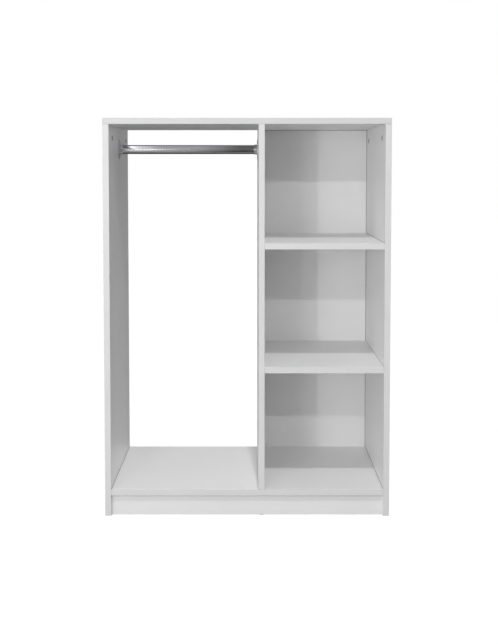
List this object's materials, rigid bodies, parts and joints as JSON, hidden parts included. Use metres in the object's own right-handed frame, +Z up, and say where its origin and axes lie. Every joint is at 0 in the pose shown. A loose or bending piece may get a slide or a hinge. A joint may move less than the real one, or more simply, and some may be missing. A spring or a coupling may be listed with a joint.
{
  "type": "open wardrobe",
  "caption": "Low open-fronted white wardrobe: an open-backed hanging bay with a chrome rail beside a backed bay of fixed shelves, on a plinth.",
  "frame": {"origin": "middle of the footprint, on the floor under the glides", "axes": "+X to the right seen from the open front, +Y to the rear, +Z up"},
  "size_m": [0.7516, 0.4, 1.05],
  "materials": {
    "board_white": "white melamine facing with a fine texture, raw chipboard where an edge has no band",
    "edge_band": "white satin edge band",
    "hardboard": "white lacquer in front, bare brown hardboard behind",
    "rail_chrome": "polished chrome plating",
    "socket_chrome": "satin chrome plating on a zinc casting",
    "screw_steel": "zinc plated",
    "cam_zinc": "raw zinc casting",
    "dowel_wood": "plain beech",
    "cap_plastic": "white moulded plastic",
    "glide_plastic": "light grey moulded plastic"
  },
  "bodies": {
    "carcass": {"side_left": "board_white", "side_right": "board_white", "top_panel": "board_white", "bottom_panel": "board_white", "divider": "board_white", "shelf_lower": "board_white", "shelf_upper": "board_white", "plinth_front": "board_white", "plinth_rear": "board_white", "band_side_left": "edge_band", "band_side_right": "edge_band", "band_top_panel": "edge_band", "band_bottom_panel": "edge_band", "band_divider": "edge_band", "band_shelf_lower": "edge_band", "band_shelf_upper": "edge_band", "back_panel": "hardboard", "hanging_rail": "rail_chrome", "rail_socket_left": "socket_chrome", "rail_socket_right": "socket_chrome", "rail_socket_screws": "screw_steel", "cam_bolts": "screw_steel", "dowels": "dowel_wood", "carcass_screws": "screw_steel", "screw_caps": "cap_plastic", "back_nails": "screw_steel", "floor_glides": "glide_plastic", "glide_nails": "screw_steel"},
    "cam_left_front": {"cam_left_front": "cam_zinc"},
    "cam_left_rear": {"cam_left_rear": "cam_zinc"},
    "cam_divider_front": {"cam_divider_front": "cam_zinc"},
    "cam_divider_rear": {"cam_divider_rear": "cam_zinc"},
    "cam_right_front": {"cam_right_front": "cam_zinc"},
    "cam_right_rear": {"cam_right_rear": "cam_zinc"}
  },
  "joints": [
    {"name": "cam_left_front_turn", "type": "hinge", "parent": "carcass", "child": "cam_left_front", "pos_m": [-0.359, -0.132, 1], "axis": [1, 0, 0], "range_deg": [0, 180]},
    {"name": "cam_left_rear_turn", "type": "hinge", "parent": "carcass", "child": "cam_left_rear", "pos_m": [-0.359, 0.153, 1], "axis": [1, 0, 0], "range_deg": [0, 180]},
    {"name": "cam_divider_front_turn", "type": "hinge", "parent": "carcass", "child": "cam_divider_front", "pos_m": [0.046, -0.132, 1], "axis": [1, 0, 0], "range_deg": [0, 180]},
    {"name": "cam_divider_rear_turn", "type": "hinge", "parent": "carcass", "child": "cam_divider_rear", "pos_m": [0.046, 0.153, 1], "axis": [1, 0, 0], "range_deg": [0, 180]},
    {"name": "cam_right_front_turn", "type": "hinge", "parent": "carcass", "child": "cam_right_front", "pos_m": [0.359, -0.132, 1], "axis": [-1, 0, 0], "range_deg": [0, 180]},
    {"name": "cam_right_rear_turn", "type": "hinge", "parent": "carcass", "child": "cam_right_rear", "pos_m": [0.359, 0.153, 1], "axis": [-1, 0, 0], "range_deg": [0, 180]}
  ]
}
